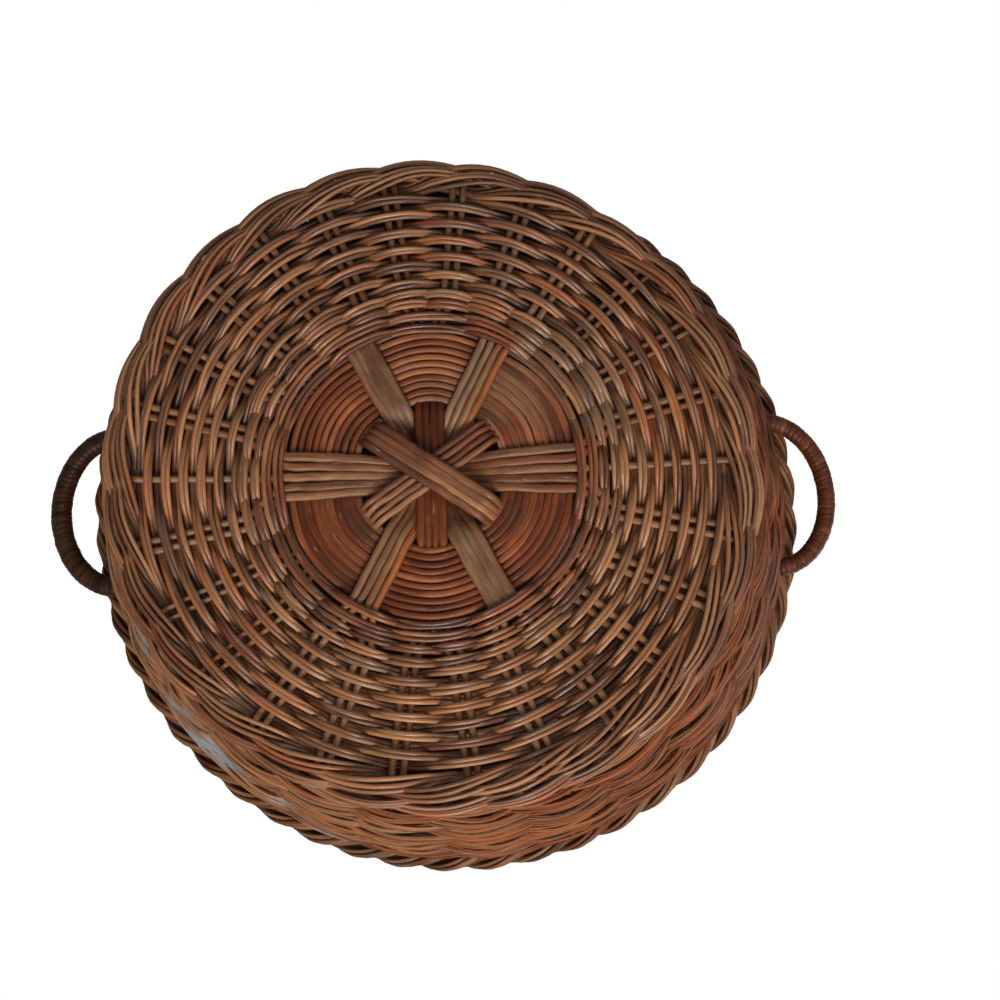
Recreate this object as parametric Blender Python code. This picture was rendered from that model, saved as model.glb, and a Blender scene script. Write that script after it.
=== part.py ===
"""Onion basket: a round bowl woven on twenty-five rods, with two wrapped ear handles.

The basket stands on its foot, mouth up. The origin is the middle of the foot, on the
surface that it stands on. The handles lie on the X axis.
"""
import math

import bmesh
import bpy
import numpy as np
from mathutils import Vector

# Rods of the frame and the gap between pieces that touch
ROD_RADIUS = 0.00105
ROD_PITCH = 0.0027
CLEAR = 0.0003
WEAVE_CLEAR = 0.0005
ROD_SIDES = 5

# Star at the middle of the base: six bunches of rods, one on top of another
STAR_HEIGHT = 0.012
STAR_RADIUS = 0.0218
BUNCH_TURNS = (2.5, 10.5, 6.5, 0.0, 8.5, 4.5)
BUNCH_RODS = (4, 4, 4, 5, 4, 4)
BUNCH_NAMES = ("a", "b", "c", "d", "e", "f")

# Hub weave, which locks the bunches outside their crossing
HUB_INNER = 0.0308
HUB_LEAD = 0.0016
HUB_OUTER = 0.050
HUB_THICKNESS = 0.0016
HUB_STEPS = 48

# Spread weave: the rows inside the rods where the bunches open into pairs
SPREAD_EASE = 0.0002

# Base, from the hub to the foot
BASE_START = 0.063
BASE_RADIUS = 0.093
BASE_EDGE_HEIGHT = 0.0054
BASE_STEPS = 1

# Side, from the foot to the mouth
CORNER_REACH = 0.008
MOUTH_RADIUS = 0.1245
MOUTH_HEIGHT = 0.0686
MOUTH_LEAN = math.radians(19.0)
SIDE_REACH = 0.047
SIDE_START_SHARE = 0.13
SIDE_STEPS = 4

# Plain weave: two weavers chase each other round the groups of rods, half a turn apart
GROUPS = 26
WEAVER_PITCH = 0.0027
WEAVER_THICKNESS = 0.0012
WEAVER_GAP = 0.0003

# Foot: the waling round the corner, and its backing inside
FOOT_TREAD = 0.0055
FOOT_THICKNESS = 0.0031
FOOT_SCALLOP = 0.0007
CORNER_THICKNESS = 0.0019
WALE_FLAT_SHARE = 0.21

# Border: the plaited edge round the mouth
BORDER_RADIUS = 0.0042
BORDER_STROKES = 50
BORDER_TWIST = 0.00045
BORDER_SIDES = 6

# Ear handles: a bent rod with a wrapping of cane
HANDLE_PROUD = 0.01705
HANDLE_DROP = 0.00748
HANDLE_RISE = 0.0012
CORE_RADIUS = 0.0016
CORE_SIDES = 8
CORE_POINTS = 17
WRAP_RADIUS = 0.0007
WRAP_LOOPS = 24
WRAP_LOOP_POINTS = 8
WRAP_MARGIN = 0.0012
WRAP_LEAST_GAP = 0.0004

# Fineness of the curve that the rods follow from the middle to the mouth
CURVE_SAMPLES = 400

GROUP_ANGLE = 2 * math.pi / GROUPS
LAYER_PITCH = 2 * ROD_RADIUS + CLEAR
HUB_SIDE = HUB_THICKNESS / 2 + CLEAR + ROD_RADIUS

COLOURS = {
    "stake": (0.215, 0.112, 0.062),
    "weave": (0.155, 0.070, 0.038),
    "border": (0.125, 0.056, 0.032),
    "core": (0.120, 0.058, 0.034),
    "wrap": (0.130, 0.048, 0.027),
}
ROUGHNESS = {"stake": 0.58, "weave": 0.55, "border": 0.55, "core": 0.60, "wrap": 0.50}


def clear_scene():
    for item in list(bpy.data.objects):
        bpy.data.objects.remove(item, do_unlink=True)


def material(name, kind):
    mat = bpy.data.materials.new(name)
    mat.use_nodes = True
    shader = mat.node_tree.nodes["Principled BSDF"]
    shader.inputs["Base Color"].default_value = (*COLOURS[kind], 1.0)
    shader.inputs["Roughness"].default_value = ROUGHNESS[kind]
    shader.inputs["Metallic"].default_value = 0.0
    mat.diffuse_color = (*COLOURS[kind], 1.0)
    return mat


def add_object(name, data, kind):
    item = bpy.data.objects.new(name, data)
    bpy.context.scene.collection.objects.link(item)
    data.materials.append(material(name, kind))
    return item


def mesh_object(name, bm, kind):
    bmesh.ops.recalc_face_normals(bm, faces=bm.faces)
    mesh = bpy.data.meshes.new(name)
    bm.to_mesh(mesh)
    bm.free()
    mesh.shade_smooth()
    mesh.set_sharp_from_angle(angle=math.radians(50.0))
    return add_object(name, mesh, kind)


# The curve of the bowl, as radius and height from the middle to the mouth

def base_height(radius):
    """Height of the rods' middle over the base, which domes up to the star."""
    share = np.maximum(radius - STAR_RADIUS, 0.0) / (BASE_RADIUS - STAR_RADIUS)
    return STAR_HEIGHT - (STAR_HEIGHT - BASE_EDGE_HEIGHT) * share ** 2


def side_curve():
    """Corner and side as one cubic curve, tangent to the base and to the mouth's lean."""
    slope = -2 * (STAR_HEIGHT - BASE_EDGE_HEIGHT) / (BASE_RADIUS - STAR_RADIUS)
    run = np.array((1.0, slope)) / math.hypot(1.0, slope)
    lean = np.array((math.sin(MOUTH_LEAN), math.cos(MOUTH_LEAN)))
    start = np.array((BASE_RADIUS, BASE_EDGE_HEIGHT))
    end = np.array((MOUTH_RADIUS, MOUTH_HEIGHT))
    corner = start + run * CORNER_REACH
    shoulder = end - lean * SIDE_REACH
    t = np.linspace(0.0, 1.0, CURVE_SAMPLES)[:, None]
    return (start * (1 - t) ** 3 + corner * 3 * t * (1 - t) ** 2
            + shoulder * 3 * t ** 2 * (1 - t) + end * t ** 3)


class Bowl:
    """The bowl's curve, read by the distance along it from the middle."""

    def __init__(self):
        radii = np.linspace(0.0, BASE_RADIUS, CURVE_SAMPLES)
        base = np.stack([radii, base_height(radii)], 1)
        points = np.concatenate([base, side_curve()[1:]])
        steps = np.linalg.norm(np.diff(points, axis=0), axis=1)
        self.run = np.concatenate([[0.0], np.cumsum(steps)])
        self.points = points
        self.base_length = self.run[CURVE_SAMPLES - 1]
        self.length = self.run[-1]
        self.side_start = self.base_length + (self.length - self.base_length) * SIDE_START_SHARE
        tangents = np.gradient(points, self.run, axis=0)
        self.tangents = tangents / np.linalg.norm(tangents, axis=1)[:, None]

    def outward(self, run):
        """Radius and height of the direction that points out of the bowl."""
        lean = np.interp(run, self.run, self.tangents[:, 0])
        rise = np.interp(run, self.run, self.tangents[:, 1])
        return rise, -lean

    def place(self, run, offset=0.0):
        """Radius and height at a distance along the curve, moved outwards by offset."""
        radius = np.interp(run, self.run, self.points[:, 0])
        height = np.interp(run, self.run, self.points[:, 1])
        across, up = self.outward(run)
        return radius + across * offset, height + up * offset

    def beside_rods(self, runs, run, offset):
        """Radius and height beside rods that are straight from each of the runs to the next."""
        radii, heights = zip(*(self.place(level) for level in runs))
        across, up = zip(*(self.outward(level) for level in runs))
        radius = np.interp(run, runs, radii) + np.interp(run, runs, across) * offset
        height = np.interp(run, runs, heights) + np.interp(run, runs, up) * offset
        return float(radius), float(height)

    def run_at_radius(self, radius):
        return float(np.interp(radius, self.points[:CURVE_SAMPLES, 0], self.run[:CURVE_SAMPLES]))


def levels(first, last, count):
    return [first + (last - first) * k / count for k in range(count + 1)]


# Builders of swept bodies

def tube(name, path, radius, sides, kind):
    """A closed tube along a path of points, with flat ends."""
    path = [Vector(point) for point in path]
    bm = bmesh.new()
    across = None
    rings = []
    last = len(path) - 1
    for k, point in enumerate(path):
        before = (point - path[max(k - 1, 0)]).normalized()
        after = (path[min(k + 1, last)] - point).normalized()
        along = (before + after).normalized()
        if across is None:
            across = along.orthogonal()
        across = (across - along * across.dot(along)).normalized()
        other = along.cross(across)
        ring = []
        for side in range(sides):
            angle = 2 * math.pi * side / sides
            ring.append(bm.verts.new(
                point + (across * math.cos(angle) + other * math.sin(angle)) * radius))
        rings.append(ring)
    for near, far in zip(rings, rings[1:]):
        for side in range(sides):
            after_side = (side + 1) % sides
            bm.faces.new((near[side], near[after_side], far[after_side], far[side]))
    bm.faces.new(rings[0][::-1])
    bm.faces.new(rings[-1])
    return mesh_object(name, bm, kind)


def ring_body(name, angles, section, kind):
    """A closed ring: section(angle index) gives its outline as (radius, height) points."""
    bm = bmesh.new()
    rings = []
    for k, angle in enumerate(angles):
        rings.append([bm.verts.new((radius * math.cos(angle), radius * math.sin(angle), height))
                      for radius, height in section(k)])
    for k, near in enumerate(rings):
        far = rings[(k + 1) % len(rings)]
        for side in range(len(near)):
            after_side = (side + 1) % len(near)
            bm.faces.new((near[side], near[after_side], far[after_side], far[side]))
    return mesh_object(name, bm, kind)


# Frame rods

def group_angle(group):
    return GROUP_ANGLE * group


def rod_end_group(turn, slot, count):
    """Group that one end of a rod joins past the hub, and its side in that group."""
    middle = (count - 1) / 2
    away = slot - middle
    if abs(away) < 1e-9:
        return turn, 0.0
    side = 1 if away > 0 else -1
    outward = 1.0 if count % 2 else 0.5
    inner = abs(away) < 1.0 + (count % 2) * 0.5
    return turn + side * outward, side * (-0.5 if inner else 0.5)


def half_rod(bowl, turn, slot, count, layer, side_runs, base_runs):
    """Points of one rod from near the middle out to the mouth, along one arm."""
    angle = group_angle(turn)
    lateral = (slot - (count - 1) / 2) * ROD_PITCH
    layer_offset = (layer - (len(BUNCH_RODS) - 1) / 2) * LAYER_PITCH
    hub_offset = HUB_SIDE if layer < len(BUNCH_RODS) / 2 else -HUB_SIDE
    along = Vector((math.cos(angle), math.sin(angle), 0.0))
    across = Vector((-math.sin(angle), math.cos(angle), 0.0))
    points = []
    arm = ((STAR_RADIUS, layer_offset), (HUB_INNER - HUB_LEAD, hub_offset), (HUB_OUTER, hub_offset))
    for reach, offset in arm:
        spot = along * reach + across * lateral
        spot.z = float(base_height(math.hypot(reach, lateral))) + offset
        points.append(spot)
    group, place = rod_end_group(turn, slot, count)
    spread = group_angle(group)
    along = Vector((math.cos(spread), math.sin(spread), 0.0))
    across = Vector((-math.sin(spread), math.cos(spread), 0.0))
    corner = levels(base_runs[-1], side_runs[0], 3)[1:3]
    for run in base_runs + corner + side_runs:
        radius, height = bowl.place(run)
        spot = along * float(radius) + across * place * ROD_PITCH
        spot.z = float(height)
        points.append(spot)
    return points


def frame_rods(bowl, base_runs, side_runs):
    for layer, name in enumerate(BUNCH_NAMES):
        turn = BUNCH_TURNS[layer]
        count = BUNCH_RODS[layer]
        layer_offset = (layer - (len(BUNCH_RODS) - 1) / 2) * LAYER_PITCH
        angle = group_angle(turn)
        across = Vector((-math.sin(angle), math.cos(angle), 0.0))
        for slot in range(count):
            out = half_rod(bowl, turn, slot, count, layer, side_runs, base_runs)
            back = half_rod(bowl, turn + GROUPS / 2, count - 1 - slot, count, layer, side_runs, base_runs)
            middle = across * (slot - (count - 1) / 2) * ROD_PITCH
            middle.z = STAR_HEIGHT + layer_offset
            tube(f"stake_{name}{slot + 1}", back[::-1] + [middle] + out, ROD_RADIUS, ROD_SIDES, "stake")


# Weave

def hub_weave():
    def section(_):
        half = HUB_THICKNESS / 2
        near = float(base_height(HUB_INNER))
        far = float(base_height(HUB_OUTER))
        return [(HUB_INNER, near - half), (HUB_OUTER, far - half),
                (HUB_OUTER, far + half), (HUB_INNER, near + half)]

    angles = [2 * math.pi * k / HUB_STEPS for k in range(HUB_STEPS)]
    ring_body("hub_weave", angles, section, "weave")


def spread_weave():
    """A shallow cone of rows that lies on the inside of the rods, from the hub to the base weave."""
    inner = HUB_OUTER + CLEAR
    outer = BASE_START - 2 * CLEAR
    near = float(base_height(inner)) + HUB_SIDE + ROD_RADIUS + CLEAR
    far = float(base_height(outer)) + ROD_RADIUS + CLEAR + SPREAD_EASE

    def section(_):
        return [(inner, near), (outer, far), (outer, far + HUB_THICKNESS), (inner, near + HUB_THICKNESS)]

    angles = [2 * math.pi * k / HUB_STEPS for k in range(HUB_STEPS)]
    ring_body("spread_weave", angles, section, "weave")


def weave_reach(radius):
    """Distance from the rods' middle to a weaver's middle that clears both rods of a group."""
    spacing = radius * GROUP_ANGLE
    share = ROD_PITCH / 2 / spacing
    sag = share * (1 - share) * spacing ** 2 / (2 * radius)
    return (ROD_RADIUS + WEAVE_CLEAR + WEAVER_THICKNESS / 2 + sag) / (1 - 2 * share)


def weave_plan(runs):
    """Steps from group to group that each weaver makes over the runs, and the pitch of the rows."""
    length = runs[-1] - runs[0]
    turns = max(round((length / WEAVER_PITCH - 1) / 2), 1)
    return turns * GROUPS, length / (2 * turns + 1)


def weaver(name, bowl, runs, second, first_step, last_step):
    """One length of a weaver: it climbs two rows a turn, outside one group and inside the next."""
    _, pitch = weave_plan(runs)
    half_height = (pitch - WEAVER_GAP) / 2
    half_thickness = WEAVER_THICKNESS / 2
    bm = bmesh.new()
    rings = []
    for step in range(first_step, last_step + 1):
        run = runs[0] + pitch * (0.5 + 2 * step / GROUPS)
        middle, _ = bowl.place(run)
        side = weave_reach(middle) * (1 if step % 2 else -1)
        angle = group_angle(step + second * GROUPS / 2)
        if step in (first_step, last_step):
            trim = CLEAR / middle
            angle += trim if step == first_step else -trim
        corners = ((run - half_height, side - half_thickness), (run + half_height, side - half_thickness),
                   (run, side + half_thickness))
        ring = []
        for along, offset in corners:
            radius, height = bowl.beside_rods(runs, along, offset)
            ring.append(bm.verts.new((radius * math.cos(angle), radius * math.sin(angle), height)))
        rings.append(ring)
    for near, far in zip(rings, rings[1:]):
        for corner in range(3):
            after = (corner + 1) % 3
            bm.faces.new((near[corner], near[after], far[after], far[corner]))
    bm.faces.new(rings[0][::-1])
    bm.faces.new(rings[-1])
    mesh_object(name, bm, "weave")


def plain_weave(name, bowl, runs, lengths):
    """Two weavers over the runs, each in as many lengths as are given, joined where they pass inside."""
    steps, _ = weave_plan(runs)
    joins = [2 * round(steps / 2 * k / lengths) for k in range(lengths + 1)]
    for k, (first_step, last_step) in enumerate(zip(joins, joins[1:])):
        for second in range(2):
            weaver(f"{name}_{2 * k + second + 1}", bowl, runs, second, first_step, last_step)


def wale_angles():
    angles = []
    for group in range(GROUPS):
        angles.append(group_angle(group - WALE_FLAT_SHARE))
        angles.append(group_angle(group + WALE_FLAT_SHARE))
    return angles


def foot_wale(bowl, first, last):
    """Waling outside the rods round the corner, with the flat tread that the basket stands on."""
    runs = levels(first + CLEAR, last - CLEAR, 3)
    near = ROD_RADIUS + WEAVE_CLEAR

    def section(k):
        scallop = FOOT_SCALLOP if (k // 2) % 2 == 0 else 0.0
        inner = [bowl.place(run, near) for run in runs]
        tread = inner[0][0]
        outer = [bowl.place(run, near + FOOT_THICKNESS + scallop) for run in runs[2:]]
        return inner + outer[::-1] + [(tread + FOOT_TREAD, 0.0), (tread, 0.0)]

    ring_body("foot_wale", wale_angles(), section, "weave")


def corner_wale(bowl, first, last):
    """Waling inside the rods round the corner."""
    runs = levels(first + CLEAR, last - CLEAR, 2)
    near = ROD_RADIUS + WEAVE_CLEAR

    def section(_):
        outer = [bowl.place(run, -near) for run in runs]
        inner = [bowl.place(run, -near - CORNER_THICKNESS) for run in runs]
        return outer + inner[::-1]

    ring_body("corner_wale", wale_angles(), section, "weave")


def border():
    """Plaited edge: a ring whose surface twists as its strokes do."""
    centre_radius = MOUTH_RADIUS + math.sin(MOUTH_LEAN) * (BORDER_RADIUS + BORDER_TWIST)
    centre_height = MOUTH_HEIGHT + CLEAR + BORDER_RADIUS + BORDER_TWIST
    steps = BORDER_STROKES * 2

    def section(k):
        outline = []
        for side in range(BORDER_SIDES):
            angle = 2 * math.pi * side / BORDER_SIDES
            swell = BORDER_TWIST * math.cos(math.pi * k - angle * 3)
            radius = BORDER_RADIUS + swell
            outline.append((centre_radius + radius * math.cos(angle),
                            centre_height + radius * math.sin(angle)))
        return outline

    ring_body("border", [2 * math.pi * k / steps for k in range(steps)], section, "border")


# Handles

def handle_path(bowl, sign, samples):
    """Half an ellipse that springs from the outside of the side, one group either way."""
    run = bowl.length - HANDLE_DROP
    middle, level = bowl.place(run)
    proud = weave_reach(float(middle)) + WEAVER_THICKNESS / 2
    end_tilt = CORE_RADIUS * (math.sin(GROUP_ANGLE) + math.sin(MOUTH_LEAN))
    seat, _ = bowl.place(run, proud + CLEAR + end_tilt)
    tip = float(middle) + HANDLE_PROUD
    start = float(seat) * math.cos(GROUP_ANGLE)
    half_width = float(seat) * math.sin(GROUP_ANGLE)
    points = []
    for k in range(samples):
        angle = math.pi * (k / (samples - 1) - 0.5)
        points.append((sign * (start + (tip - start) * math.cos(angle)),
                       half_width * math.sin(angle),
                       float(level) + HANDLE_RISE * math.cos(angle)))
    return points


def wrap_points(bowl, sign):
    """Centre line of the cane that winds round a handle's core."""
    path = np.array(handle_path(bowl, sign, CURVE_SAMPLES))
    run = np.concatenate([[0.0], np.cumsum(np.linalg.norm(np.diff(path, axis=0), axis=1))])
    reach = CORE_RADIUS + CLEAR + WRAP_RADIUS
    margin = WRAP_MARGIN + WRAP_RADIUS
    total = WRAP_LOOPS * WRAP_LOOP_POINTS
    points = []
    for k in range(total + 1):
        here = margin + (run[-1] - 2 * margin) * k / total
        spot = np.array([np.interp(here, run, path[:, axis]) for axis in range(3)])
        ahead = np.array([np.interp(here + CLEAR, run, path[:, axis]) for axis in range(3)])
        behind = np.array([np.interp(here - CLEAR, run, path[:, axis]) for axis in range(3)])
        along = Vector(ahead - behind).normalized()
        up = Vector((0.0, 0.0, 1.0))
        up = (up - along * up.dot(along)).normalized()
        side = along.cross(up)
        angle = 2 * math.pi * k / WRAP_LOOP_POINTS
        points.append(Vector(spot) + (up * math.cos(angle) + side * math.sin(angle)) * reach)
    return points


def least_gap(points):
    """Smallest clear space between two loops of the winding, measured on its points."""
    places = np.array([tuple(point) for point in points])
    least = math.inf
    for k in range(len(places) - WRAP_LOOP_POINTS // 2):
        others = places[k + WRAP_LOOP_POINTS // 2:]
        least = min(least, float(np.linalg.norm(others - places[k], axis=1).min()))
    return least - 2 * WRAP_RADIUS


def handle(bowl, name, sign):
    tube(f"handle_core_{name}", handle_path(bowl, sign, CORE_POINTS), CORE_RADIUS, CORE_SIDES, "core")
    points = wrap_points(bowl, sign)
    curve = bpy.data.curves.new(f"handle_wrap_{name}", "CURVE")
    curve.dimensions = "3D"
    curve.bevel_depth = WRAP_RADIUS
    curve.bevel_resolution = 1
    curve.use_fill_caps = True
    spline = curve.splines.new("POLY")
    spline.points.add(len(points) - 1)
    for spot, point in zip(spline.points, points):
        spot.co = (*point, 1.0)
    add_object(f"handle_wrap_{name}", curve, "wrap")
    gap = least_gap(points)
    print(f"handle_wrap_{name}: least gap to itself {gap:.5f} m, over {WRAP_LEAST_GAP} m: {gap > WRAP_LEAST_GAP}")


def main():
    clear_scene()
    bowl = Bowl()
    base_runs = levels(bowl.run_at_radius(BASE_START), bowl.base_length, BASE_STEPS)
    side_runs = levels(bowl.side_start, bowl.length, SIDE_STEPS)
    frame_rods(bowl, base_runs, side_runs)
    hub_weave()
    spread_weave()
    plain_weave("base_weave", bowl, base_runs, 1)
    foot_wale(bowl, base_runs[-1], side_runs[0])
    corner_wale(bowl, base_runs[-1], side_runs[0])
    plain_weave("side_weave", bowl, side_runs, 2)
    border()
    handle(bowl, "left", -1)
    handle(bowl, "right", 1)


main()
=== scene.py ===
import math

import bpy
import numpy as np
from mathutils import Matrix, Vector


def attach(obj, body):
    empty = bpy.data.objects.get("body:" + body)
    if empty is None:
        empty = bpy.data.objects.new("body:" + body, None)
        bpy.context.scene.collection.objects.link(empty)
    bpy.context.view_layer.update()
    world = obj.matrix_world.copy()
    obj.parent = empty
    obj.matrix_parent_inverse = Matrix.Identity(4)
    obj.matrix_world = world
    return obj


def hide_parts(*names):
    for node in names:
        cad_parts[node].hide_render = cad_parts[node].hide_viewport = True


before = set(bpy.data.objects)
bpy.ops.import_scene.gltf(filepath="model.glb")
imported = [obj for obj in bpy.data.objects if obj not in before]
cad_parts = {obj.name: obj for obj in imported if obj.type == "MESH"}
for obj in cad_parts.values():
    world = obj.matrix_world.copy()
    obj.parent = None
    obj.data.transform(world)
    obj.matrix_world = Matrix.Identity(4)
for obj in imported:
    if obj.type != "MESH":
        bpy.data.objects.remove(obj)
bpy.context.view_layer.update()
bpy.ops.object.select_all(action="DESELECT")

mm = 0.001
dice = np.random.default_rng(26)

# The bowl's curve from the middle of the base to the mouth, which every rod follows
bowlForm = {
    "starHeight": 12.0 * mm,
    "starRadius": 21.8 * mm,
    "baseRadius": 93.0 * mm,
    "baseEdgeHeight": 5.4 * mm,
    "cornerReach": 8.0 * mm,
    "mouthRadius": 124.5 * mm,
    "mouthHeight": 68.6 * mm,
    "mouthLean": math.radians(19),
    "sideReach": 47.0 * mm,
    "overrun": 7.0 * mm,       # how far the rods run on up inside the border
    "waled": 0.13,             # share of the side that the waling covers
    "samples": 400, "overrunSamples": 20,
}

groups = 26                    # places round the bowl where rods stand
groupAngle = 2 * math.pi / groups
# turn is the group number at an arm's middle, and over a hidden arm the hub weave shows;
# slim, flatten and spread fit single arms to the photo
arms = (
    {"name": "bunchA", "turn": 2.5, "rods": 4, "hidden": True},
    {"name": "bunchB", "turn": 10.5, "rods": 4, "hidden": True, "slim": 0.76},
    {"name": "bunchC", "turn": 6.5, "rods": 4, "hidden": True},
    {"name": "bunchD", "turn": 0.0, "rods": 5, "hidden": False, "flatten": 0.68},
    {"name": "bunchE", "turn": 8.5, "rods": 4, "hidden": False},
    {"name": "bunchF", "turn": 4.5, "rods": 4, "hidden": False, "spread": 0.9, "flatten": 0.6},
)


def smooth(value, low, high):
    share = np.clip((value - low) / (high - low), 0, 1)
    return share * share * (3 - 2 * share)


def unit(vectors):
    return vectors / np.linalg.norm(vectors, axis=-1)[..., None]


def runAlong(points):          # length of the line up to each of its points
    steps = np.linalg.norm(np.diff(points, axis=-2), axis=-1)
    return np.concatenate([np.zeros((*steps.shape[:-1], 1)), np.cumsum(steps, axis=-1)], axis=-1)


def baseHeight(radius):
    form = bowlForm
    share = np.maximum(radius - form["starRadius"], 0) / (form["baseRadius"] - form["starRadius"])
    return form["starHeight"] - (form["starHeight"] - form["baseEdgeHeight"]) * share ** 2


def bowlLine():
    form = bowlForm
    drop = form["starHeight"] - form["baseEdgeHeight"]
    slope = -2 * drop / (form["baseRadius"] - form["starRadius"])
    away = np.array((1.0, slope)) / math.hypot(1.0, slope)
    lean = np.array((math.sin(form["mouthLean"]), math.cos(form["mouthLean"])))
    start = np.array((form["baseRadius"], form["baseEdgeHeight"]))
    end = np.array((form["mouthRadius"], form["mouthHeight"]))
    corner, shoulder = start + away * form["cornerReach"], end - lean * form["sideReach"]
    t = np.linspace(0, 1, form["samples"])[:, None]
    side = (start * (1 - t) ** 3 + corner * 3 * t * (1 - t) ** 2
            + shoulder * 3 * t ** 2 * (1 - t) + end * t ** 3)
    radii = np.linspace(0, form["baseRadius"], form["samples"])
    over = end + lean * form["overrun"] * np.linspace(0, 1, form["overrunSamples"])[1:, None]
    points = np.concatenate([np.stack([radii, baseHeight(radii)], 1), side[1:], over])
    run = runAlong(points)
    slopes = unit(np.gradient(points, run, axis=0))
    return {"run": run, "radius": points[:, 0], "height": points[:, 1],
            "lean": slopes[:, 0], "rise": slopes[:, 1]}


bowl = bowlLine()


def bowlRun(radius):           # distance from the middle, for a radius on the base
    return float(np.interp(radius, bowl["radius"], bowl["run"]))


bowlEnd = bowl["run"][-1] - bowlForm["overrun"]
baseEnd = bowlRun(bowlForm["baseRadius"])
sideStart = baseEnd + (bowlEnd - baseEnd) * bowlForm["waled"]

# The old bowl has sagged: its mouth is a little wider one way than the other
ovalForm = {"size": 2.4 * mm, "at": math.radians(53), "from": 55 * mm, "full": 127 * mm}


def toOval(points):
    form = ovalForm
    radius = np.hypot(points[..., 0], points[..., 1])
    angle = np.arctan2(points[..., 1], points[..., 0])
    push = form["size"] * smooth(radius, form["from"], form["full"]) * np.cos(2 * (angle - form["at"]))
    grow = 1 + push / np.maximum(radius, mm)
    return points * np.stack([grow, grow, np.ones_like(grow)], -1)


def onBowl(run, angle, offset=0.0):        # offset is outwards, which is down over the base
    rise, lean = (np.interp(run, bowl["run"], bowl[key]) for key in ("rise", "lean"))
    radius = np.interp(run, bowl["run"], bowl["radius"]) + rise * offset
    height = np.interp(run, bowl["run"], bowl["height"]) - lean * offset
    return toOval(np.stack([radius * np.cos(angle), radius * np.sin(angle), height + 0 * angle], -1))


def outOfBowl(run, angle):
    rise, lean = (np.interp(run, bowl["run"], bowl[key]) for key in ("rise", "lean"))
    return np.stack([rise * np.cos(angle), rise * np.sin(angle), -lean + 0 * angle], -1)


def wander(stations, knots, size):         # slow uneven drift along a cane
    marks = dice.normal(0, size, knots)
    places = np.linspace(0, knots - 1, stations)
    low = np.minimum(places.astype(int), knots - 2)
    share = smooth(places - low, 0, 1)
    return marks[low] * (1 - share) + marks[low + 1] * share


# Canes: a flat strip is rolled up once for each length, and every cane is a bent copy of it
caneForm = {
    "weld": 0.001,                         # closes the roll's seam, where stations are 1 apart
    "grainLength": 10 * mm, "grainShift": 90, "grainApart": 3,
}
rolled = {}


def readOut(items, key, shape, kind=float):
    values = np.empty((len(items), *shape), dtype=kind)
    items.foreach_get(key, values.ravel())
    return values


def rollCane(stations, sides):
    size = (stations, sides)
    if size in rolled:
        return rolled[size]
    bpy.ops.mesh.primitive_grid_add(x_subdivisions=stations - 1, y_subdivisions=sides, size=1,
                                    location=(0, 0, 0))
    strip = bpy.context.object
    mesh = strip.data
    flat = readOut(mesh.vertices, "co", (3,))
    turn = flat[:, 1] * 2 * math.pi
    tube = np.stack([(flat[:, 0] + 0.5) * (stations - 1), np.sin(turn), np.cos(turn)], 1)
    mesh.vertices.foreach_set("co", tube.ravel())
    bpy.ops.object.mode_set(mode="EDIT")
    bpy.ops.mesh.select_all(action="SELECT")
    bpy.ops.mesh.remove_doubles(threshold=caneForm["weld"])
    bpy.ops.mesh.fill_holes(sides=sides)
    bpy.ops.mesh.normals_make_consistent(inside=False)
    bpy.ops.object.mode_set(mode="OBJECT")
    rolled[size] = {
        "corners": readOut(mesh.vertices, "co", (3,)),
        "links": readOut(mesh.loops, "vertex_index", (), np.int64),
        "starts": readOut(mesh.polygons, "loop_start", (), np.int64),
        "unwrapped": readOut(mesh.uv_layers[0].data, "uv", (2,)),
    }
    bpy.data.objects.remove(strip)
    bpy.data.meshes.remove(mesh)
    return rolled[size]


def bendCanes(name, canes, sides, finish, nodes):
    # canes holds paths (cane, station, xyz) and outward directions, and for each station
    # the half width, half height, tone, red and deep, the strength of the painted shade on the outer face
    paths, outward = canes["paths"], canes["outward"]
    count, stations = paths.shape[:2]
    blank = rollCane(stations, sides)
    along = unit(np.gradient(paths, axis=1))
    across = unit(np.cross(outward, along))
    upward = np.cross(along, across)
    station = np.rint(blank["corners"][:, 0]).astype(int)
    wide = across[:, station] * (canes["width"][:, station] * blank["corners"][:, 1])[..., None]
    high = upward[:, station] * (canes["height"][:, station] * blank["corners"][:, 2])[..., None]
    places = paths[:, station] + wide + high

    corners, loops = len(station), len(blank["links"])
    copy = np.arange(count)[:, None]
    mesh = bpy.data.meshes.new(name)
    mesh.vertices.add(count * corners)
    mesh.vertices.foreach_set("co", places.ravel())
    mesh.loops.add(count * loops)
    mesh.loops.foreach_set("vertex_index", (blank["links"] + copy * corners).ravel())
    mesh.polygons.add(count * len(blank["starts"]))
    mesh.polygons.foreach_set("loop_start", (blank["starts"] + copy * loops).ravel())
    mesh.update(calc_edges=True)
    mesh.shade_smooth()

    length = runAlong(paths)[:, station[blank["links"]]] / caneForm["grainLength"]
    grain = np.empty((count, loops, 2))
    grain[..., 0] = length + dice.uniform(0, caneForm["grainShift"], (count, 1))
    grain[..., 1] = blank["unwrapped"][:, 1] + copy * caneForm["grainApart"]
    layer = mesh.uv_layers.new(name="grain")
    layer.data.foreach_set("uv", grain.ravel())
    for key in ("tone", "red", "deep"):
        values = mesh.attributes.new(key, "FLOAT", "POINT")
        values.data.foreach_set("value", canes[key][:, station].astype(np.float32).ravel())
    piece = bpy.data.objects.new(name, mesh)
    bpy.context.scene.collection.objects.link(piece)
    mesh.materials.append(finish)
    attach(piece, "root")
    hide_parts(*nodes)
    print(name, "canes", count, "triangles", count * (2 * sides * (stations - 1) + 2 * (sides - 2)))
    return piece


# Shader maths as expressions

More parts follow.
